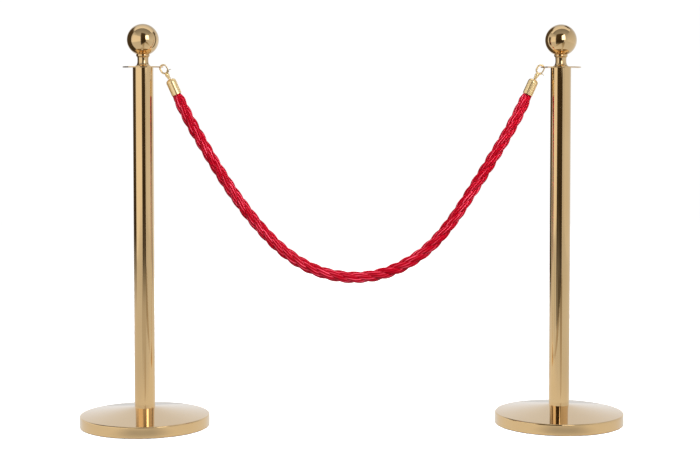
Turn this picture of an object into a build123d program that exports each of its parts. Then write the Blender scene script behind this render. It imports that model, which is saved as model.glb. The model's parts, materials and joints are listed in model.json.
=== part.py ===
from build123d import *
import math
import os

# A rope barrier: two free-standing posts joined by one twisted rope with a snap hook at each end.
# Millimetres. The origin is on the floor midway between the posts, +X runs along the rope to the
# right-hand post, +Y points away from the front and +Z up.

# ---- Driving dimensions ----------------------------------------------------------------------
post_spacing = 1032.0
clearance = 0.1            # between parts of one body that are assembled by hand

# weighted base
base_radius = 160.0
rim_height = 28.0
rim_round = 3.0
cover_wall = 1.2
cover_lift = 1.5           # the metal rim stands this far off the floor
seat_radius = 27.0         # flat middle of the cover that the tube stands on
seat_height = 46.0
ring_width = 12.0          # rubber floor ring in a rebate under the iron's edge
ring_height = 5.0
weight_gap = 0.5           # between the iron and its cover
weight_bottom = 2.0        # the iron's flat underside stands this far off the floor
weight_top = 16.0          # top of the flat part of the iron
boss_foot_radius = 42.0    # boss in the middle that holds up the cover's seat
boss_top_radius = 27.0
base_bolt_radius = 6.0
base_bolt_fit = 0.5        # radial room round the bolt in the iron
bolt_head_height = 7.5
bolt_head_flats = 19.0
bolt_well_radius = 21.0    # counterbore for the bolt's head and washers
bolt_well_top = 17.0
washer_radius = 18.5
washer_thickness = 3.0
lock_washer_radius = 10.2
lock_washer_thickness = 2.5
lock_washer_split = 0.8
lock_washer_slant = 30.0

# tube and its plugs
tube_radius = 25.4
tube_wall = 1.2
tube_top = 886.5
plug_length = 30.0
bolt_reach = 26.0          # thread length inside the foot plug

# rope plate
plate_radius = 50.0
plate_thickness = 3.0
plate_hole_radius = 6.0
plate_hole_circle = 40.5   # radius of the circle that the holes stand on
plate_holes = 4
plate_edge_round = 0.8

# finial
stud_radius = 5.0
stud_reach = 20.0
neck_foot_radius = 19.0
neck_foot_height = 1.5
neck_waist_radius = 13.6
neck_waist_height = 16.5
neck_bead_radius = 16.8
neck_bead_height = 23.0    # underside of the bead above the plate
neck_groove_radius = 14.4  # just under the bead
neck_seat_radius = 16.2    # rim of the cupped seat that the ball sits in
ball_radius = 39.2
ball_wall = 1.2
ball_centre = 954.9
insert_radius = 12.0
insert_length = 20.0
insert_shoulder = 1.5      # how far the shoulder stands out, inside the skin
insert_shoulder_low = 0.8
insert_shoulder_high = 4.0
insert_roof = 3.0          # solid metal above the stud's hole
stud_end_gap = 1.0         # between the stud's end and that roof

# snap hook, in its own frame: origin at the ring's centre, z towards the ring's top, x to the gate
wire_radius = 2.2
ring_mid_radius = 8.1      # centreline of the ring's two half circles
ring_half_straight = 2.7
ring_rest_gap = 0.3        # between the ring's inside and the plate it hangs on
nose_angle = 12.0          # where the ring's nose ends, above the gate side
heel_angle = -50.0         # where the ring starts again below the gate
neck_top = -11.0
neck_bottom = -27.2
neck_wide_top = -15.5      # the neck is widest between these two heights
neck_wide_bottom = -18.0
neck_rise = 2.0            # how far the neck runs up into the ring's metal
neck_radius = 5.2
neck_end_radius = 3.5
neck_bead_step = 0.7       # bead round the neck's lower end
neck_bead_width = 1.5
pivot_x = 5.6
pivot_z = -9.0
ear_radius = 3.1
ear_half_width = 3.5
slot_half_width = 1.7
slot_size = (20.0, 16.4)   # the gate's slot along x and z
slot_offset = (6.4, 4.4)   # its middle from the pivot
root_height = 4.2          # block between the neck and the fork
root_drop = 2.4
gate_half_width = 1.5
gate_thickness = 3.0
gate_hub_radius = 2.7
gate_reach = 14.6          # pivot to the gate's tip
gate_gap = 0.5             # between the gate's tip and the nose
gate_edge_round = 0.7
gate_low_angles = (-43.0, -21.0)
gate_high_angles = (18.0, 36.0)
tab_reach = 10.0
tab_thickness = 1.4
tab_rise = 1.2
tab_slope = 8.0
pin_radius = 0.9
pin_fit = 0.05
pin_head_step = 0.7
pin_head_height = 0.6
spring_wire = 0.22
spring_mid_radius = 1.45
spring_pitch = 0.5
spring_turns = 2
spring_pocket_radius = 2.0
spring_side_gap = 0.3      # between the coil's first turn and the fork's cheek

# swivel: a ball-ended stud held inside the ferrule's dome
swivel_stud_radius = 1.9
swivel_ball_radius = 4.2
swivel_gap = 0.3
swivel_depth = 5.2         # ball centre below the ferrule's top
swivel_stud_bite = 9.0     # thread length inside the hook's neck

# ferrule and rope
ferrule_radius = 12.7
ferrule_wall = 1.0
ferrule_length = 41.0
ferrule_lip_radius = 5.0
ferrule_hole_radius = 3.3
ferrule_shoulder = 9.0
dome_middle = (10.8, -3.1) # a point half way round the dome's rounding
rope_radius = 15.0
rope_end_radius = 11.5     # squeezed into the ferrule
rope_end_length = 26.0
rope_swell_length = 18.0   # from the ferrule's mouth to the full size
screw_radius = 1.5
screw_head_radius = 2.8
screw_head_height = 1.2
screw_head_round = 0.6
screw_from_mouth = 11.0
screw_depth = 8.5

# The rope's route from the left ferrule's mouth to the right one's, as (x, z) in the plane y = 0.
rope_route = [
    (-433.3, 820.6),
    (-411.7, 772.2),
    (-361.0, 683.0),
    (-303.0, 587.0),
    (-238.0, 499.0),
    (-168.0, 427.0),
    (-93.0, 382.0),
    (-14.0, 365.0),
    (60.0, 370.0),
    (127.0, 395.0),
    (188.0, 436.0),
    (243.0, 498.0),
    (305.0, 594.0),
    (366.0, 692.0),
    (411.7, 772.2),
    (433.3, 820.6),
]

# ---- Worked-out dimensions -------------------------------------------------------------------
plate_top = tube_top + plate_thickness
web_centre_radius = (plate_hole_circle + plate_hole_radius + plate_radius) / 2
tube_bore = tube_radius - tube_wall
plug_radius = tube_bore - clearance
seat_slope = (seat_height - rim_height) / (base_radius - seat_radius)
hole_fit = clearance / 2   # radial, where a bolt or stud passes through
ring_outer = base_radius - cover_wall - clearance
washer_bottom = bolt_well_top - washer_thickness
bolt_head_top = washer_bottom - lock_washer_thickness
iron_seat = seat_height - cover_wall - weight_gap
stud_top = ball_centre - ball_radius + insert_length - insert_roof - stud_end_gap
through = 1.0              # how far a cutter runs past a face that it opens


# ---- Helpers ---------------------------------------------------------------------------------
def save(node, shape):
    """Writes one node to its own file."""
    export_step(shape, f"parts/{node}.step")


def rod(radius, bottom, top):
    """A round bar on the Z axis between two heights."""
    return Pos(0, 0, bottom) * Cylinder(radius, top - bottom, align=(Align.CENTER, Align.CENTER, Align.MIN))


def cross_rod(radius, length):
    """A round bar along the Y axis, centred on the origin."""
    return Rot(90, 0, 0) * Cylinder(radius, length)


def half_section(points):
    """Straight edges through (radius, height) points, closed, as a solid of revolution."""
    outline = Polyline(*[(r, 0, z) for r, z in points], close=True)
    return revolve(make_face(outline), Axis.Z)


# ---- Base ------------------------------------------------------------------------------------
def make_floor_ring():
    return rod(ring_outer, 0, ring_height) - rod(ring_outer - ring_width, 0, ring_height)


def cover_block(inset, bottom):
    """The solid inside one skin of the cover: upright side, rounded corner, shallow cone, flat seat."""
    side = base_radius - inset
    cone_at_side = seat_height - inset - seat_slope * (side - seat_radius)
    block = half_section([
        (0, bottom),
        (side, bottom),
        (side, cone_at_side),
        (seat_radius, seat_height - inset),
        (0, seat_height - inset),
    ])
    corner = block.edges().filter_by(GeomType.CIRCLE).filter_by(lambda edge: edge.radius > seat_radius)
    return fillet(corner.sort_by(Axis.Z)[-1], rim_round - inset)


def make_base_weight():
    """Cast iron disc with a rebate for the floor ring, a boss in the middle and a well for the bolt."""
    side = base_radius - cover_wall - weight_gap
    iron = half_section([
        (0, weight_bottom),
        (side, weight_bottom),
        (side, weight_top),
        (boss_foot_radius, weight_top),
        (boss_top_radius, iron_seat),
        (0, iron_seat),
    ])
    rebate = rod(base_radius, 0, ring_height) - rod(ring_outer - ring_width - clearance, 0, ring_height)
    well = rod(bolt_well_radius, 0, bolt_well_top)
    return iron - rebate - well - rod(base_bolt_radius + base_bolt_fit, 0, seat_height)


def make_base_cover():
    """Spun shell with an upright rim."""
    shell = cover_block(0, cover_lift) - cover_block(cover_wall, 0)
    return shell - rod(base_bolt_radius + hole_fit, 0, seat_height + through)


def make_base_washer():
    disc = rod(washer_radius, washer_bottom, bolt_well_top)
    return disc - rod(base_bolt_radius + hole_fit, washer_bottom, bolt_well_top)


def make_lock_washer():
    """Split spring washer between the big washer and the bolt's head."""
    ring = rod(lock_washer_radius, bolt_head_top, washer_bottom)
    ring -= rod(base_bolt_radius + hole_fit, bolt_head_top, washer_bottom)
    middle = Pos((base_bolt_radius + lock_washer_radius) / 2, 0, (bolt_head_top + washer_bottom) / 2)
    cutter = Box(lock_washer_radius, lock_washer_split, 3 * lock_washer_thickness)
    return ring - middle * Rot(lock_washer_slant, 0, 0) * cutter


def make_base_bolt():
    """Hexagon-headed bolt from under the iron up into the tube's foot plug."""
    hexagon = RegularPolygon(bolt_head_flats / 2, 6, major_radius=False)
    head = Pos(0, 0, bolt_head_top - bolt_head_height) * extrude(hexagon, bolt_head_height)
    return head + rod(base_bolt_radius, bolt_head_top, seat_height + bolt_reach)


# ---- Tube ------------------------------------------------------------------------------------
def make_tube():
    return rod(tube_radius, seat_height, tube_top) - rod(tube_bore, seat_height, tube_top)


def make_foot_plug():
    """Steel plug pressed into the tube's foot, tapped for the base bolt."""
    plug = rod(plug_radius, seat_height, seat_height + plug_length)
    return plug - rod(base_bolt_radius + hole_fit, seat_height, seat_height + plug_length)


def make_head_plug():
    """Steel plug in the tube's head, tapped for the finial's stud."""
    plug = rod(plug_radius, tube_top - plug_length, tube_top)
    return plug - rod(stud_radius + hole_fit, tube_top - plug_length, tube_top)


# ---- Rope plate and finial -------------------------------------------------------------------
def make_rope_plate():
    """Thin round plate with four rope holes, clamped between the tube and the finial."""
    plate = rod(plate_radius, tube_top, plate_top)
    plate = fillet(plate.edges(), plate_edge_round)
    plate -= rod(stud_radius + hole_fit, tube_top, plate_top)
    for place in PolarLocations(plate_hole_circle, plate_holes):
        plate -= place * rod(plate_hole_radius, tube_top, plate_top)
    return plate


def make_finial_stud():
    return rod(stud_radius, tube_top - stud_reach, stud_top)


def skin_height(radius, sphere):
    """Height of the underside of a sphere about the ball's centre, at a distance from the axis."""
    return ball_centre - math.sqrt(sphere**2 - radius**2)


def make_finial_neck():
    """Turned neck: a foot on the plate, a hollow sweep in to the waist and a bead under the ball."""
    stud_hole = stud_radius + hole_fit
    seat_sphere = ball_radius + hole_fit
    seat_middle = (stud_hole + neck_seat_radius) / 2
    foot = (neck_foot_radius, 0, plate_top)
    foot_top = (neck_foot_radius, 0, plate_top + neck_foot_height)
    waist = (neck_waist_radius, 0, plate_top + neck_waist_height)
    groove = (neck_groove_radius, 0, plate_top + neck_bead_height)
    seat_rim = (neck_seat_radius, 0, skin_height(neck_seat_radius, seat_sphere))
    seat_mid = (seat_middle, 0, skin_height(seat_middle, seat_sphere))
    seat_hole = (stud_hole, 0, skin_height(stud_hole, seat_sphere))
    bead = (neck_bead_radius, 0, (groove[2] + seat_rim[2]) / 2)
    leaving_foot = (-1, 0, 0.55)
    reaching_groove = (0.35, 0, 1)
    outline = [
        Line((stud_hole, 0, plate_top), foot),
        Line(foot, foot_top),
        Spline(foot_top, waist, groove, tangents=[leaving_foot, reaching_groove]),
        ThreePointArc(groove, bead, seat_rim),
        ThreePointArc(seat_rim, seat_mid, seat_hole),
        Line(seat_hole, (stud_hole, 0, plate_top)),
    ]
    return revolve(make_face(Curve() + outline), Axis.Z)


def make_finial_ball():
    """Hollow spun ball, open below for its threaded insert."""
    shell = Sphere(ball_radius) - Sphere(ball_radius - ball_wall)
    shell = Pos(0, 0, ball_centre) * shell
    return shell - rod(insert_radius, ball_centre - ball_radius - through, ball_centre)


def make_ball_insert():
    """Threaded insert with a shoulder inside the ball's skin."""
    bottom = skin_height(insert_radius, ball_radius)
    top = bottom + insert_length
    inside = skin_height(insert_radius, ball_radius - ball_wall)
    body = rod(insert_radius - hole_fit, bottom, top)
    body += rod(insert_radius + insert_shoulder, inside + insert_shoulder_low, inside + insert_shoulder_high)
    return body - rod(stud_radius + hole_fit, bottom - through, top - insert_roof)


# ---- Snap hook -------------------------------------------------------------------------------
def ring_point(angle):
    """A point on the ring's centreline at an angle from the gate side, above the middle if positive."""
    rise = math.copysign(ring_half_straight, angle)
    turn = math.radians(angle)
    return (ring_mid_radius * math.cos(turn), 0, rise + ring_mid_radius * math.sin(turn))


def hook_ring():
    """The round wire of the ring, open on the gate's side from the nose down to the heel."""
    left_top = (-ring_mid_radius, 0, ring_half_straight)
    left_bottom = (-ring_mid_radius, 0, -ring_half_straight)
    spine = Curve() + [
        ThreePointArc(ring_point(nose_angle), ring_point((180 + nose_angle) / 2), left_top),
        Line(left_top, left_bottom),
        ThreePointArc(left_bottom, ring_point((heel_angle - 180) / 2), ring_point(heel_angle)),
    ]
    start = Plane(spine @ 0, z_dir=spine % 0)
    return sweep(start * Circle(wire_radius), path=spine.wires()[0])


def hook_neck():
    """Round neck below the ring, waisted, with a bead at its lower end."""
    bead_radius = neck_end_radius + neck_bead_step
    return half_section([
        (0, neck_top + neck_rise),
        (neck_end_radius, neck_top + neck_rise),
        (neck_radius, neck_wide_top),
        (neck_radius, neck_wide_bottom),
        (neck_end_radius, neck_bottom + 2 * neck_bead_width),
        (bead_radius, neck_bottom + neck_bead_width),
        (bead_radius, neck_bottom),
        (0, neck_bottom),
    ])


def make_hook_body():
    """Cast hook: an open ring, a fork for the gate's pivot and a round neck below."""
    pivot = Pos(pivot_x, 0, pivot_z)
    wide = 4 * wire_radius
    ear = pivot * cross_rod(ear_radius, 2 * ear_half_width)
    root = Pos(pivot_x / 2, 0, pivot_z - root_drop) * Box(pivot_x, 2 * ear_half_width, root_height)
    slot_middle = pivot * Pos(slot_offset[0], 0, slot_offset[1])
    slot = slot_middle * Box(slot_size[0], 2 * slot_half_width, slot_size[1])
    upper_right = Pos(2 * ring_mid_radius, 0, ring_mid_radius) * Box(
        3 * ring_mid_radius, wide, 2 * ring_mid_radius
    )
    nose_cut = pivot * cross_rod(gate_reach + gate_gap, wide) & upper_right
    pin_hole = pivot * cross_rod(pin_radius, 4 * ear_half_width)
    stud_hole = rod(swivel_stud_radius, neck_bottom - through, neck_bottom + swivel_stud_bite)
    return hook_ring() + hook_neck() + ear + root - slot - nose_cut - pin_hole - stud_hole


def make_hook_gate():
    """Sprung gate: a hub on the pin, an arm up to the nose and a thumb tab outside."""
    pivot = Pos(pivot_x, 0, pivot_z)
    depth = 2 * gate_half_width
    low = (ring_mid_radius, 0, -ring_half_straight)
    high = (ring_mid_radius, 0, ring_half_straight)
    spine = Curve() + [
        ThreePointArc(ring_point(gate_low_angles[0]), ring_point(gate_low_angles[1]), low),
        Line(low, high),
        ThreePointArc(high, ring_point(gate_high_angles[0]), ring_point(gate_high_angles[1])),
    ]
    start = Plane(spine @ 0, x_dir=(0, 1, 0), z_dir=spine % 0)
    arm = sweep(start * RectangleRounded(depth, gate_thickness, gate_edge_round), path=spine.wires()[0])
    arm = arm & pivot * cross_rod(gate_reach, 2 * depth)
    hub = pivot * cross_rod(gate_hub_radius, depth)
    tab = Rot(0, tab_slope, 0) * Box(tab_reach, depth, tab_thickness)
    tab = pivot * Pos(tab_reach / 2, 0, tab_rise) * tab
    pin_hole = pivot * cross_rod(pin_radius + pin_fit, 2 * depth)
    pocket = pivot * Pos(0, gate_half_width, 0) * cross_rod(spring_pocket_radius, 2 * gate_half_width)
    return arm + hub + tab - pin_hole - pocket


def make_gate_pin():
    """Rivet through the fork, headed on both sides."""
    rivet = cross_rod(pin_radius, 2 * ear_half_width)
    for side in (-1, 1):
        middle = side * (ear_half_width + pin_head_height / 2)
        rivet += Pos(0, middle, 0) * cross_rod(pin_radius + pin_head_step, pin_head_height)
    return Pos(pivot_x, 0, pivot_z) * rivet


def make_gate_spring():
    """Torsion spring round the pin, in the pocket of the gate's hub."""
    coil = Helix(spring_pitch, spring_pitch * spring_turns, spring_mid_radius)
    section = Plane(coil @ 0, z_dir=coil % 0) * Circle(spring_wire)
    spring = sweep(section, path=coil, is_frenet=True)
    return Pos(pivot_x, slot_half_width - spring_side_gap, pivot_z) * Rot(90, 0, 0) * spring


def make_swivel_stud(ball_drop):
    """Stud screwed into the hook's neck, with a ball that turns inside the ferrule."""
    stud = rod(swivel_stud_radius, -ball_drop, neck_bottom + swivel_stud_bite)
    return stud + Pos(0, 0, -ball_drop) * Sphere(swivel_ball_radius)


# ---- Ferrule and rope ------------------------------------------------------------------------
def make_ferrule():
    """Domed end cap in its own frame: top at z = 0, open mouth at the bottom."""
    inner = ferrule_radius - ferrule_wall
    cavity = swivel_ball_radius + swivel_gap
    skin = [
        Line((0, 0, 0), (ferrule_lip_radius, 0, 0)),
        ThreePointArc(
            (ferrule_lip_radius, 0, 0),
            (dome_middle[0], 0, dome_middle[1]),
            (ferrule_radius, 0, -ferrule_shoulder),
        ),
        Line((ferrule_radius, 0, -ferrule_shoulder), (ferrule_radius, 0, -ferrule_length)),
        Line((ferrule_radius, 0, -ferrule_length), (0, 0, -ferrule_length)),
        Line((0, 0, -ferrule_length), (0, 0, 0)),
    ]
    cap = revolve(make_face(Curve() + skin), Axis.Z)
    bore = half_section([
        (0, -ferrule_length),
        (inner, -ferrule_length),
        (inner, -ferrule_shoulder - 2 * ferrule_wall),
        (cavity, -swivel_depth),
        (0, -swivel_depth),
    ])
    ball_seat = Pos(0, 0, -swivel_depth) * Sphere(cavity)
    stud_hole = rod(ferrule_hole_radius, -swivel_depth, through)
    screw_height = screw_from_mouth - ferrule_length
    screw_hole = cross_rod(screw_radius + hole_fit, 6 * ferrule_wall)
    screw_hole = Pos(0, ferrule_radius, screw_height) * screw_hole
    return cap - bore - ball_seat - stud_hole - screw_hole


def make_ferrule_screw():
    """Round-headed screw through the ferrule's back wall into the rope."""
    seat = ferrule_radius + clearance
    shank = rod(screw_radius, ferrule_radius - screw_depth, seat)
    head = rod(screw_head_radius, seat, seat + screw_head_height)
    head = fillet(head.edges().sort_by(Axis.Z)[-1], screw_head_round)
    return Pos(0, 0, screw_from_mouth - ferrule_length) * Rot(-90, 0, 0) * (shank + head)


def route_radii(points):
    """Arc radius at each inner point: 0.45 of the shorter run over the tangent of half the turn."""
    radii = []
    for before, here, after in zip(points, points[1:], points[2:]):
        arriving = here - before
        leaving = after - here
        half_turn = math.radians(arriving.get_angle(leaving)) / 2
        radii.append(0.45 * min(arriving.length, leaving.length) / math.tan(half_turn))
    return radii


def mouth_planes(points):
    """Plane at each ferrule's mouth: origin in the mouth, z up the ferrule, y to the back."""
    planes = {}
    for side, mouth, inward in (("left", points[0], points[1]), ("right", points[-1], points[-2])):
        up = (mouth - inward).normalized()
        planes[side] = Plane(mouth, x_dir=Vector(0, 1, 0).cross(up), z_dir=up)
    return planes


def make_rope(points, mouths):
    """One rope: a swept run, necked down at each end and squeezed into its ferrule."""
    radii = route_radii(points)
    path = FilletPolyline(*points, radius=radii)
    run = sweep(Plane(path @ 0, z_dir=path % 0) * Circle(rope_radius), path=path)
    section = math.pi * rope_radius**2
    print("rope length", round(path.length, 1), "radii", [round(r) for r in radii])
    print("rope volume over section times length", round(run.volume / (section * path.length), 4))
    collar = rod(rope_radius + through, -rope_swell_length, through)
    swell = Pos(0, 0, -rope_swell_length) * Cone(
        rope_radius, rope_end_radius, rope_swell_length, align=(Align.CENTER, Align.CENTER, Align.MIN)
    )
    screw_hole = rod(screw_radius, ferrule_radius - screw_depth, rope_radius)
    for mouth in mouths.values():
        place = mouth.location
        run -= place * (collar - swell)
        run += place * rod(rope_end_radius, -through, rope_end_length)
        run -= place * Pos(0, 0, screw_from_mouth) * Rot(-90, 0, 0) * screw_hole
    return run


# ---- Assembly --------------------------------------------------------------------------------
def save_post(side, x):
    """One complete post, standing at x."""
    pieces = {
        "floor_ring": make_floor_ring(),
        "base_weight": make_base_weight(),
        "base_cover": make_base_cover(),
        "base_washer": make_base_washer(),
        "lock_washer": make_lock_washer(),
        "base_bolt": make_base_bolt(),
        "tube": make_tube(),
        "foot_plug": make_foot_plug(),
        "head_plug": make_head_plug(),
        "rope_plate": make_rope_plate(),
        "finial_stud": make_finial_stud(),
        "finial_neck": make_finial_neck(),
        "finial_ball": make_finial_ball(),
        "ball_insert": make_ball_insert(),
    }
    for name, piece in pieces.items():
        save(f"{side}_{name}", Pos(x, 0, 0) * piece)


def hook_plane(direction, ball):
    """Where the hook sits: its axis runs from the swivel's ball to the plate's rim, which its ring holds."""
    web = Vector(direction * (post_spacing / 2 - web_centre_radius), 0, (tube_top + plate_top) / 2)
    up = (web - ball).normalized()
    inside_top = ring_half_straight + ring_mid_radius - wire_radius
    half_web = math.hypot((plate_radius - plate_hole_circle - plate_hole_radius) / 2, plate_thickness / 2)
    ring_centre = web - up * (inside_top - half_web - ring_rest_gap)
    return Plane(ring_centre, x_dir=Vector(0, 1, 0).cross(up), z_dir=up)


def save_rope_end(side, direction, mouth):
    """Ferrule, swivel and hook at one end of the rope. The gate is on the +X side of both hooks."""
    top = mouth.location * Pos(0, 0, ferrule_length)
    ball = (top * Pos(0, 0, -swivel_depth)).position
    plane = hook_plane(direction, ball)
    hook = plane.location
    print(side, "ring centre", plane.origin, "axis", plane.z_dir, "swivel ball", ball)
    print(side, "gate pivot", (hook * Pos(pivot_x, 0, pivot_z)).position)
    pieces = {
        "ferrule": top * make_ferrule(),
        "ferrule_screw": top * make_ferrule_screw(),
        "hook_body": hook * make_hook_body(),
        "hook_gate": hook * make_hook_gate(),
        "gate_pin": hook * make_gate_pin(),
        "gate_spring": hook * make_gate_spring(),
        "swivel_stud": hook * make_swivel_stud((plane.origin - ball).length),
    }
    for name, piece in pieces.items():
        save(f"{side}_{name}", piece)


os.makedirs("parts", exist_ok=True)
route_points = [Vector(x, 0, z) for x, z in rope_route]
rope_mouths = mouth_planes(route_points)
save("rope", make_rope(route_points, rope_mouths))
for side_name, side_sign in (("left", -1), ("right", 1)):
    save_post(side_name, side_sign * post_spacing / 2)
    save_rope_end(side_name, side_sign, rope_mouths[side_name])
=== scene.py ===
import json
import math
import random

import bmesh
import bpy
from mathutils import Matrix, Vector, noise


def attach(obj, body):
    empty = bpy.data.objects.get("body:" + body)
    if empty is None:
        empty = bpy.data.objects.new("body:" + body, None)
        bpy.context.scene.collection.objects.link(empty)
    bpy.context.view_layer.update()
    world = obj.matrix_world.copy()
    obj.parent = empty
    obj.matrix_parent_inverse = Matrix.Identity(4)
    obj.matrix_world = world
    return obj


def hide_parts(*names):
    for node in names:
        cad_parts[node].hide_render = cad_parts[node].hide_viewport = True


# A rope barrier: two polished gold posts joined by one twisted red rope, in a white studio.
# Metres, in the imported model's frame: +X along the rope to the right, +Y to the back, +Z up.

# ---- Camera ----------------------------------------------------------------------------------
camera_distance = 3.895
camera_height = 0.82
camera_turn = 1.7          # degrees to the left of straight in front, so the left post is nearer
camera_tilt = 2.5          # degrees below level
camera_lens = 81.0
camera_shift = (-0.0039, -0.10)

# ---- Rope ------------------------------------------------------------------------------------
# The rope's route from the left ferrule's mouth to the right one's, as (x, z) in the plane y = 0.
rope_route = [
    (-0.4333, 0.8206),
    (-0.4117, 0.7722),
    (-0.3610, 0.6830),
    (-0.3030, 0.5870),
    (-0.2380, 0.4990),
    (-0.1680, 0.4270),
    (-0.0930, 0.3820),
    (-0.0140, 0.3650),
    (0.0600, 0.3700),
    (0.1270, 0.3950),
    (0.1880, 0.4360),
    (0.2430, 0.4980),
    (0.3050, 0.5940),
    (0.3660, 0.6920),
    (0.4117, 0.7722),
    (0.4333, 0.8206),
]
strand_count = 3
strand_radius = 0.0098
strand_offset = 0.0054     # from the rope's axis to a strand's
lay_pitch = 0.102          # one full turn of a strand
strand_flat = 150          # degrees from a strand's outermost line to where its flat inner walls face
yarns_per_strand = 9
yarn_depth = 0.0013        # how deep the grooves between yarns are
yarn_roundness = 0.8       # below 1, the yarns' tops are flatter and the grooves narrower
yarn_thinnest = -0.00025   # each yarn's own size, against the mean
yarn_thickest = 0.0002
yarn_swell = 0.00022       # how much a yarn swells and thins along its length
yarn_swell_rate = 40       # such swellings in a metre
yarn_twist = -0.3          # the yarns' own turn, as a share of the strands' turn
yarn_columns = 8           # mesh columns across one yarn
ring_step = 0.0033         # between the mesh's rings along the rope
end_squeeze = 0.77         # the rope's girth inside a ferrule, as a share of its full girth
swell_length = 0.018       # from a ferrule's mouth to the full girth
hidden_end = 0.022         # how far the rope runs on inside each ferrule
random_seed = 7            # for the yarns' own sizes

# ---- Studio ----------------------------------------------------------------------------------
post_spacing = 1.032       # between the posts' axes
floor_size = 12.0
backdrop_radius = 12.0
ambient = 0.45             # the light from all round on the rope and the iron
light_aim = (0, 0, 0.5)
white = (1.0, 1.0, 1.0)
ivory = (1.0, 0.98, 0.94)
cream = (1.0, 0.97, 0.92)
sand = (1.0, 0.88, 0.7)
brown = (1.0, 0.72, 0.4)
no_fade = (0.0, 0.0)
sharpest_edge = 0.0001     # the least share of a card that its fading edge takes
card_gap = 0.0004          # between one level card on the floor and the next above it

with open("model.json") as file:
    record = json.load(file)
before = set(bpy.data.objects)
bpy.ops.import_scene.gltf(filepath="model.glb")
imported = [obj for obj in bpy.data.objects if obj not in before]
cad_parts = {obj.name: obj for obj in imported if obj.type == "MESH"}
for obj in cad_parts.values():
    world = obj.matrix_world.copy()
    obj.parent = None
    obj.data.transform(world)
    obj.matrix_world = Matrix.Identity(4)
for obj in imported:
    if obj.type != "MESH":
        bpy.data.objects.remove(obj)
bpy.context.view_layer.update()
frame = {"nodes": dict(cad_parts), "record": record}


def link(thing):
    """Puts an object into the scene, and hands it on."""
    bpy.context.scene.collection.objects.link(thing)
    return thing


def make_camera():
    data = bpy.data.cameras.new("camera")
    data.lens = camera_lens
    data.shift_x, data.shift_y = camera_shift
    camera = link(bpy.data.objects.new("camera", data))
    turn = math.radians(camera_turn)
    across, back = camera_distance * math.sin(turn), camera_distance * math.cos(turn)
    camera.location = (-across, -back, camera_height)
    camera.rotation_euler = (math.radians(90 - camera_tilt), 0, -turn)
    bpy.context.scene.camera = camera


# ---- Rope ------------------------------------------------------------------------------------
def route_line():
    """Points along the rope's smooth centreline, read from a NURBS curve through the route."""
    curve = bpy.data.curves.new("rope_line", "CURVE")
    curve.dimensions = "3D"
    curve.resolution_u = 24
    spline = curve.splines.new("NURBS")
    spline.points.add(len(rope_route) - 1)
    for point, (x, z) in zip(spline.points, rope_route):
        point.co = (x, 0, z, 1)
    spline.order_u = 3
    spline.use_endpoint_u = True
    holder = link(bpy.data.objects.new("rope_line", curve))
    mesh = bpy.data.meshes.new_from_object(holder)
    points = [vertex.co.copy() for vertex in mesh.vertices]
    bpy.data.objects.remove(holder)
    bpy.data.meshes.remove(mesh)
    return points


def evenly_spaced(points, step, extra):
    """(distance from the start, place, direction) every step or so, run on straight past both ends."""
    first_way = (points[1] - points[0]).normalized()
    last_way = (points[-1] - points[-2]).normalized()
    line = [points[0] - first_way * extra, *points, points[-1] + last_way * extra]
    travelled = [-extra]
    for before, after in zip(line, line[1:]):
        travelled.append(travelled[-1] + (after - before).length)
    total = travelled[-1] - travelled[0]
    count = round(total / step)
    stations = []
    piece = 0
    for i in range(count + 1):
        distance = travelled[0] + total * i / count
        while piece < len(line) - 2 and travelled[piece + 1] < distance:
            piece += 1
        share = (distance - travelled[piece]) / (travelled[piece + 1] - travelled[piece])
        place = line[piece].lerp(line[piece + 1], share)
        stations.append([distance, place, None])
    for i, station in enumerate(stations):
        before = stations[max(i - 1, 0)][1]
        after = stations[min(i + 1, count)][1]
        station[2] = (after - before).normalized()
    return stations


def girth(distance, visible_length):
    """The rope's girth as a share of the full one: squeezed in the ferrules, swelling out of them."""
    from_mouth = min(distance, visible_length - distance)
    t = min(max(from_mouth / swell_length, 0.0), 1.0)
    return end_squeeze + (1 - end_squeeze) * t * t * (3 - 2 * t)


def heading(angle):
    """The flat unit vector at that angle."""
    return Vector((math.cos(angle), math.sin(angle)))


def strand_section(turn, yarn_turn, size, yarn_sizes, distance, strand):
    """One strand's outline about the rope's axis, as (x, y) pairs: fluted by its yarns, flat inside."""
    columns = yarns_per_strand * yarn_columns
    centre = heading(turn) * strand_offset * size
    walls = [heading(turn + side * math.radians(strand_flat)) for side in (1, -1)]
    outline = []
    for column in range(columns):
        yarn, across = divmod(column, yarn_columns)
        # The multipliers of yarn and strand only keep their noises apart.
        spot_in_noise = Vector((distance * yarn_swell_rate, yarn * 3.1, strand * 7.7))
        swell = yarn_sizes[yarn] + yarn_swell * noise.noise(spot_in_noise)
        flute = yarn_depth * (math.sin(math.pi * across / yarn_columns) ** yarn_roundness - 1)
        angle = yarn_turn + 2 * math.pi * column / columns
        spot = centre + heading(angle) * (strand_radius + flute + swell) * size
        for wall in walls:
            spot -= wall * max(spot.dot(wall), 0.0)
        outline.append(spot)
    return outline


def strand_points(strand, yarn_sizes, stations, visible_length):
    """The strand's rings of points, one ring at each station."""
    back = Vector((0, 1, 0))
    points = []
    for distance, place, way in stations:
        side = back.cross(way)
        lay = 2 * math.pi * distance / lay_pitch
        turn = lay + 2 * math.pi * strand / strand_count
        yarn_turn = turn + lay * (yarn_twist - 1)
        size = girth(distance, visible_length)
        for spot in strand_section(turn, yarn_turn, size, yarn_sizes, distance, strand):
            points.append(place + side * spot.x + back * spot.y)
    return points


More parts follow.
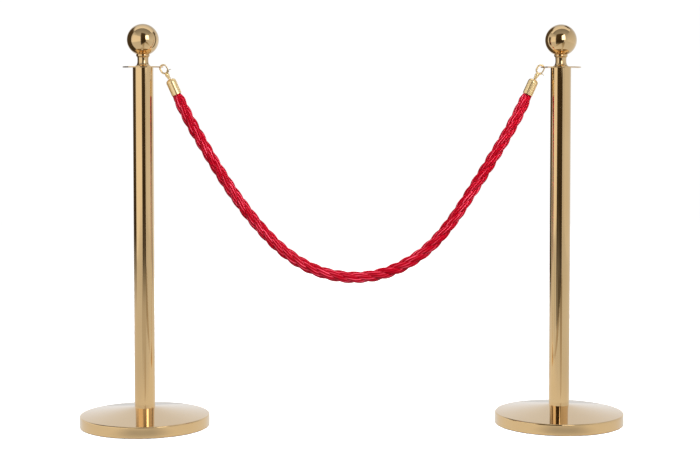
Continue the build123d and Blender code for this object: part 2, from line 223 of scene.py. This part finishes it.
def strand_skin(strand, start, stations):
    """Faces over a strand's rings and its two ends, with UVs: metres along, and share of the yarns."""
    columns = yarns_per_strand * yarn_columns
    faces, uvs = [], []
    for ring in range(len(stations) - 1):
        low, high = start + ring * columns, start + (ring + 1) * columns
        here, ahead = stations[ring][0], stations[ring + 1][0]
        for column in range(columns):
            after = (column + 1) % columns
            faces.append((low + column, low + after, high + after, high + column))
            near, far = [(strand * columns + c) / columns for c in (column, column + 1)]
            uvs += [(here, near), (here, far), (ahead, far), (ahead, near)]
    end = start + len(stations) * columns
    for cap in (range(start, start + columns), range(end - 1, end - columns - 1, -1)):
        faces.append(tuple(reversed(cap)))
        uvs += [(0, 0)] * columns
    return faces, uvs


def make_rope():
    """The twisted rope, strand by strand, in place of the plain one."""
    points = route_line()
    visible_length = sum((b - a).length for a, b in zip(points, points[1:]))
    stations = evenly_spaced(points, ring_step, hidden_end)
    draws = random.Random(random_seed)
    vertices, faces, uvs = [], [], []
    for strand in range(strand_count):
        yarn_sizes = [draws.uniform(yarn_thinnest, yarn_thickest) for _ in range(yarns_per_strand)]
        skin, spread = strand_skin(strand, len(vertices), stations)
        vertices += strand_points(strand, yarn_sizes, stations, visible_length)
        faces += skin
        uvs += spread
    mesh = bpy.data.meshes.new("rope")
    mesh.from_pydata([tuple(v) for v in vertices], [], faces)
    layer = mesh.uv_layers.new(name="yarn")
    layer.data.foreach_set("uv", [value for pair in uvs for value in pair])
    mesh.polygons.foreach_set("use_smooth", [True] * len(mesh.polygons))
    mesh.materials.append(materials["rope_red"])
    rope = link(bpy.data.objects.new("twisted_rope", mesh))
    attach(rope, "root")
    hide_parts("rope")


# ---- Materials -------------------------------------------------------------------------------
class Shading:
    """A material under construction: its Principled shader and short calls to add and join nodes."""

    def __init__(self, name, **sockets):
        self.material = bpy.data.materials.new(name)
        self.material.use_nodes = True
        self.tree = self.material.node_tree
        self.shader = self.tree.nodes["Principled BSDF"]
        for socket, value in sockets.items():
            self.set(socket.replace("_", " "), value)

    def set(self, socket, value):
        """Gives one of the shader's sockets a number, a colour or another node's output."""
        self.join(value, self.shader.inputs[socket])

    def join(self, value, socket):
        if isinstance(value, bpy.types.NodeSocket):
            self.tree.links.new(value, socket)
        else:
            socket.default_value = value

    def add(self, kind, inputs=None, **settings):
        """A node of that kind. Inputs are numbers, colours or other nodes' outputs."""
        node = self.tree.nodes.new("ShaderNode" + kind)
        for key, value in settings.items():
            setattr(node, key, value)
        for key, value in (inputs or {}).items():
            self.join(value, node.inputs[key])
        return node

    def become(self, node):
        """Puts another shader node in the Principled shader's place."""
        self.tree.nodes.remove(self.shader)
        self.join(node.outputs[0], self.tree.nodes["Material Output"].inputs["Surface"])

    def place(self):
        """The point on the piece, in the model's frame."""
        return self.add("TexCoord").outputs["Object"]

    def uv(self, layer):
        return self.add("UVMap", uv_map=layer).outputs["UV"]

    def axes(self, vector):
        return self.add("SeparateXYZ", {"Vector": vector}).outputs

    def stretched(self, vector, scale):
        return self.add("Mapping", {"Vector": vector, "Scale": scale}).outputs["Vector"]

    def noise(self, vector, scale, detail=2.0):
        return self.add("TexNoise", {"Vector": vector, "Scale": scale, "Detail": detail}).outputs["Fac"]

    def math(self, operation, *values):
        return self.add("Math", dict(enumerate(values)), operation=operation).outputs[0]

    def between(self, value, low, high, start=0.3, end=0.7, **settings):
        """The value, spread from start..end to low..high."""
        inputs = {"Value": value, "From Min": start, "From Max": end, "To Min": low, "To Max": high}
        return self.add("MapRange", inputs, **settings).outputs["Result"]

    def blend(self, share, colour_a, colour_b):
        """From the first colour to the second as the share goes from 0 to 1."""
        node = self.add("Mix", data_type="RGBA")
        self.join(share, node.inputs[0])
        self.join(colour_a, node.inputs[6])
        self.join(colour_b, node.inputs[7])
        return node.outputs[2]

    def bump(self, height, distance, strength):
        node = self.add("Bump", {"Height": height, "Distance": distance, "Strength": strength})
        self.set("Normal", node.outputs["Normal"])


def rgb(red, green, blue):
    return (red, green, blue, 1.0)


def gold_mirror():
    """Mirror-polished gold under a clear coat, with faint draw lines, haze and handling marks."""
    look = Shading("gold_mirror", Metallic=1.0, Coat_Weight=1.0, Coat_Roughness=0.03, Coat_IOR=1.5)
    place = look.place()
    pale_gold = rgb(0.88, 0.62, 0.31)
    deep_gold = rgb(0.84, 0.575, 0.275)
    tone = look.between(look.noise(place, 5.0), 0, 1)
    look.set("Base Color", look.blend(tone, pale_gold, deep_gold))
    haze = look.noise(place, 14.0, detail=4.0)
    smudges = look.noise(place, 55.0, detail=3.0)
    marks = look.math("MULTIPLY", haze, smudges)
    look.set("Roughness", look.between(marks, 0.04, 0.1, start=0.12, end=0.4))
    draw_lines = look.noise(look.stretched(place, (900, 900, 4)), 1.0)
    look.bump(draw_lines, distance=0.000002, strength=0.5)
    return look.material


def gold_fitting():
    """Brighter yellow cast fittings, polished after casting."""
    look = Shading("gold_fitting", Metallic=0.75)
    place = look.place()
    pale_gold = rgb(1.0, 0.77, 0.42)
    deep_gold = rgb(1.0, 0.72, 0.34)
    tone = look.between(look.noise(place, 60.0), 0, 1)
    look.set("Base Color", look.blend(tone, pale_gold, deep_gold))
    look.set("Roughness", look.between(look.noise(place, 160.0, detail=4.0), 0.13, 0.19))
    look.bump(look.noise(place, 300.0), distance=0.00001, strength=0.1)
    return look.material


def cast_iron():
    """Rough casting under a dark primer."""
    look = Shading("cast_iron", Metallic=0.0)
    place = look.place()
    grain = look.noise(place, 450.0, detail=5.0)
    pit_grey = rgb(0.035, 0.036, 0.038)
    top_grey = rgb(0.075, 0.073, 0.07)
    look.set("Base Color", look.blend(look.between(grain, 0, 1), pit_grey, top_grey))
    look.set("Roughness", look.between(look.noise(place, 90.0, detail=3.0), 0.55, 0.85))
    look.bump(grain, distance=0.0006, strength=0.7)
    return look.material


def floor_rubber():
    """Moulded black rubber with a fine stipple."""
    look = Shading("floor_rubber", Metallic=0.0)
    place = look.place()
    black = rgb(0.018, 0.018, 0.019)
    worn_black = rgb(0.04, 0.04, 0.042)
    wear = look.between(look.noise(place, 40.0, detail=3.0), 0, 1)
    look.set("Base Color", look.blend(wear, black, worn_black))
    look.set("Roughness", look.between(look.noise(place, 120.0), 0.6, 0.85))
    look.bump(look.noise(place, 1800.0), distance=0.0002, strength=0.5)
    return look.material


def zinc_steel():
    """Zinc-plated steel, cloudy with a slight spangle."""
    look = Shading("zinc_steel", Metallic=1.0)
    place = look.place()
    dull_grey = rgb(0.52, 0.53, 0.55)
    light_grey = rgb(0.66, 0.67, 0.69)
    cells = look.add("TexVoronoi", {"Vector": place, "Scale": 260.0}).outputs["Color"]
    spangle = look.add("SeparateColor", {"Color": cells}).outputs[0]
    look.set("Base Color", look.blend(spangle, dull_grey, light_grey))
    look.set("Roughness", look.between(look.noise(place, 150.0, detail=3.0), 0.28, 0.5))
    look.bump(look.noise(place, 1200.0), distance=0.00005, strength=0.5)
    return look.material


def spring_steel():
    """Bright drawn wire with a fine cloudy grain."""
    look = Shading("spring_steel", Metallic=1.0)
    place = look.place()
    dull_grey = rgb(0.42, 0.42, 0.44)
    light_grey = rgb(0.58, 0.58, 0.6)
    tone = look.between(look.noise(place, 700.0, detail=3.0), 0, 1)
    look.set("Base Color", look.blend(tone, dull_grey, light_grey))
    look.set("Roughness", look.between(look.noise(place, 2500.0), 0.2, 0.38))
    return look.material


def rope_red():
    """Twisted satin yarn: painted highlight lines along the yarns' tops, crimson sides and painted
    shade in the grooves.
    """
    look = Shading("rope_red", Metallic=0.0, Specular_IOR_Level=0.04)
    crimson = rgb(0.38, 0.0, 0.007)
    red = rgb(0.50, 0.001, 0.017)
    # Painted highlight: this pale pinkish red stands in for the satin's sheen on the yarns' tops.
    painted_highlight_red = rgb(0.96, 0.10, 0.17)
    # Painted shade: this dark red stands in for the shade that falls in the grooves between the yarns.
    painted_groove_shade = rgb(0.24, 0.0, 0.004)
    yarn = look.uv("yarn")
    filaments = look.noise(look.stretched(yarn, (25, 150, 1)), 1.0)
    patches = look.noise(look.stretched(yarn, (14, 8, 1)), 1.0, detail=1.0)
    across = look.axes(yarn)["Y"]
    wave = look.math("SINE", look.math("MULTIPLY", across, math.pi * yarns_per_strand))
    ridge = look.math("ABSOLUTE", wave)      # 0 in the grooves between yarns, 1 on the yarns' tops
    side = look.blend(look.between(filaments, 0, 1, start=0.35, end=0.65), crimson, red)
    # The painted highlight runs along the yarns' tops, in scattered patches.
    lines = look.between(ridge, 0, 1, start=0.72, end=1.0)
    lit = look.between(patches, 0, 1, start=0.4, end=0.65)
    colour = look.blend(look.math("MULTIPLY", lines, lit), side, painted_highlight_red)
    # Painted shade, deepening towards the grooves between the yarns.
    colour = look.blend(look.between(ridge, 0, 1, start=0.0, end=0.55), painted_groove_shade, colour)
    look.set("Base Color", colour)
    look.set("Roughness", look.between(patches, 0.3, 0.45))
    look.bump(filaments, distance=0.00006, strength=0.5)
    return look.material


def studio_floor():
    """Seamless white paper, bright enough to lose its far edge in the background."""
    look = Shading("studio_floor", Roughness=0.9, Emission_Strength=0.62)
    look.set("Emission Color", rgb(*white))
    off_white = rgb(0.93, 0.93, 0.925)
    near_white = rgb(0.95, 0.95, 0.945)
    look.set("Base Color", look.blend(look.noise(look.place(), 3.0), off_white, near_white))
    return look.material


def backdrop_glow():
    """Plain white light, just past white in the picture."""
    look = Shading("backdrop")
    look.become(look.add("Emission", {"Color": rgb(*white), "Strength": 1.02}))
    return look.material


def card_glow(name, low, high, tint, soft):
    """A glow graded from low at the card's foot to high at its top, that fades out at its edges.

    soft holds the share of the card's width, and of its height, that the fade takes at each edge.
    """
    look = Shading(name)
    axes = look.axes(look.uv("card"))
    covers = []
    for axis in range(2):
        from_edge = look.math("PINGPONG", axes[axis], 0.5)
        width = max(soft[axis], sharpest_edge)
        covers.append(look.between(from_edge, 0, 1, 0, width, interpolation_type="SMOOTHSTEP"))
    strength = look.between(axes["Y"], low, high, start=0, end=1)
    light = look.add("Emission", {"Color": rgb(*tint), "Strength": strength})
    clear = look.add("BsdfTransparent")
    cover = look.math("MULTIPLY", *covers)
    look.become(look.add("MixShader", {0: cover, 1: clear.outputs[0], 2: light.outputs[0]}))
    return look.material


def make_materials():
    """The record's finishes, by the name of their slot."""
    makers = (gold_mirror, gold_fitting, cast_iron, floor_rubber, zinc_steel, spring_steel, rope_red)
    return {maker.__name__: maker() for maker in makers}


def dress_frame():
    """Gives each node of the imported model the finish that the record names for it."""
    for part in frame["record"]["subparts"]:
        node = frame["nodes"][part["node"]]
        for slot in node.material_slots:
            slot.material = materials[part["material_slot"]]


# ---- Studio ----------------------------------------------------------------------------------
def level_corners(centre, width, depth, height):
    """The corners of a level rectangle, from its front left and counter-clockwise."""
    x, y = centre
    ways = ((-1, -1), (1, -1), (1, 1), (-1, 1))
    return [(x + a * width / 2, y + b * depth / 2, height) for a, b in ways]


def make_floor():
    mesh = bpy.data.meshes.new("floor")
    mesh.from_pydata(level_corners((0, 0), floor_size, floor_size, 0), [], [(0, 1, 2, 3)])
    mesh.materials.append(studio_floor())
    floor = link(bpy.data.objects.new("floor", mesh))
    floor.visible_diffuse = False


def make_backdrop():
    """White all round, for the camera alone, so that the light on the rope can be softer than white."""
    mesh = bpy.data.meshes.new("backdrop")
    form = bmesh.new()
    bmesh.ops.create_icosphere(form, subdivisions=3, radius=backdrop_radius)
    form.to_mesh(mesh)
    form.free()
    mesh.materials.append(backdrop_glow())
    backdrop = link(bpy.data.objects.new("backdrop", mesh))
    backdrop.visible_diffuse = False
    backdrop.visible_glossy = False
    backdrop.visible_shadow = False


def make_card(name, corners, low, high, tint, soft):
    """A four-cornered card that only the polished metal sees, low and high in brightness."""
    mesh = bpy.data.meshes.new(name)
    mesh.from_pydata(corners, [], [(0, 1, 2, 3)])
    layer = mesh.uv_layers.new(name="card")
    for loop, uv in zip(layer.data, ((0, 0), (1, 0), (1, 1), (0, 1))):
        loop.uv = uv
    mesh.materials.append(card_glow(name, low, high, tint, soft))
    card = link(bpy.data.objects.new(name, mesh))
    card.visible_camera = False
    card.visible_diffuse = False
    card.visible_shadow = False


def make_upright_card(name, start, end, bottom, top, low, high, tint=white, soft=no_fade):
    """A card standing on the line between two floor points."""
    corners = [(*start, bottom), (*end, bottom), (*end, top), (*start, top)]
    make_card(name, corners, low, high, tint, soft)


def make_level_card(name, centre, width, depth, height, low, high, tint=white, soft=no_fade):
    """A card lying level, with low at its front edge and high at its back one."""
    make_card(name, level_corners(centre, width, depth, height), low, high, tint, soft)


def make_light(name, place, size, power):
    """A square lamp aimed at the middle of the set, for the rope: the metal doesn't see it."""
    data = bpy.data.lights.new(name, "AREA")
    data.size = size
    data.energy = power
    light = link(bpy.data.objects.new(name, data))
    light.location = place
    light.rotation_euler = (Vector(light_aim) - Vector(place)).to_track_quat("-Z", "Y").to_euler()
    light.visible_glossy = False


def make_room():
    """Walls, ceiling and floor that the metal reflects, greyer than the white background."""
    left, right, front, back, ceiling = -4.5, 4.5, -5.0, 3.5, 5.0
    width, depth = right - left, back - front
    walls = (
        ("wall_back", (left, back), (right, back), 0.84),
        ("wall_left", (left, front), (left, back), 0.90),
        ("wall_right", (right, back), (right, front), 0.70),
        ("wall_front", (right, front), (left, front), 0.62),
    )
    for name, start, end, brightness in walls:
        make_upright_card(name, start, end, 0, ceiling, brightness, 0.45)
    make_level_card("ceiling_front", (0, front / 2), width, -front, ceiling, 0.45, 0.24)
    make_level_card("ceiling_back", (0, back / 2), width, back, ceiling, 0.9, 0.6)
    make_level_card("floor_far", (0, (front + back) / 2), width, depth, 2 * card_gap, 0.56, 0.70)
    make_level_card("floor_near", (0, 0), 2.6, 2.0, 3 * card_gap, 0.70, 0.80, ivory, soft=(0.3, 0.4))


def make_dark_cards():
    """Dark cards for the bands down the middle of each tube and along its edges."""
    left_end, right_end = (-0.78, -1.05), (1.34, -3.4)
    leaning = [(*left_end, -0.5), (*right_end, -1.07), (*right_end, 4.8), (*left_end, 2.5)]
    make_card("dark_front", leaning, 0.03, 0.08, brown, soft=(0.07, 0.2))
    # Name, the two floor points, bottom, top, brightness at the foot and the top, tint, fades.
    cards = (
        ("dark_left", (-0.972, -0.084), (-0.76, 0.381), 0.2, 1.5, 0.04, 0.08, brown, (0.08, 0.2)),
        ("dark_behind", (0.125, 0.146), (0.404, 0.418), 0.2, 1.5, 0.08, 0.08, brown, (0.12, 0.12)),
        ("dark_high", (0.85, 0.95), (1.35, 0.55), 1.6, 2.3, 0.08, 0.08, brown, (0.2, 0.2)),
    )
    for card in cards:
        make_upright_card(*card)


def make_soft_cards():
    """Light areas low before the left post and on the left, and the bright highlight on the right."""
    # Name, the two floor points, bottom, top, brightness at the foot and the top, tint, fades.
    cards = (
        ("soft_low", (-0.68, -0.42), (-0.3, -0.42), 0.0, 0.4, 0.58, 0.42, cream, (0.1, 0.45)),
        ("soft_left", (-3.4, -0.6), (-0.9, -3.9), 0.0, 2.6, 0.92, 0.85, cream, (0.12, 0.2)),
        ("soft_right", (0.36, -2.06), (1.12, -1.25), 0.88, 2.2, 2.4, 3.0, white, (0.2, 0.16)),
    )
    for card in cards:
        make_upright_card(*card)


def make_floor_cards():
    """Before each post, a faint strip for the bands low on the tube and a soft shade for the rim."""
    near, far, height = -0.3, -3.2, 5 * card_gap
    for side in (-1, 1):
        post = side * post_spacing / 2
        strip = [
            (post - 0.03, near, height),
            (post + 0.08, near, height),
            (post + 1.2, far, height),
            (post - 0.5, far, height),
        ]
        make_card("floor_strip", strip, 0.5, 0.2, sand, soft=(0.2, 0.08))
        centre = (side * 0.505, -0.22)
        make_level_card("floor_shade", centre, 0.30, 0.17, 4 * card_gap, 0.45, 0.45, soft=(0.4, 0.45))


def make_studio():
    world = bpy.data.worlds.new("studio")
    bpy.context.scene.world = world
    world.use_nodes = True
    sky = world.node_tree.nodes["Background"]
    sky.inputs["Color"].default_value = rgb(*white)
    sky.inputs["Strength"].default_value = ambient
    bpy.context.scene.view_settings.view_transform = "Standard"
    make_floor()
    make_backdrop()
    make_room()
    make_dark_cards()
    make_soft_cards()
    make_floor_cards()
    make_light("key", (1.3, -2.3, 2.1), size=0.9, power=85)
    make_light("fill", (-2.2, -2.6, 1.6), size=1.6, power=25)
    make_light("back", (-0.6, 2.8, 1.9), size=1.6, power=50)


make_camera()
materials = make_materials()
make_rope()
dress_frame()
make_studio()
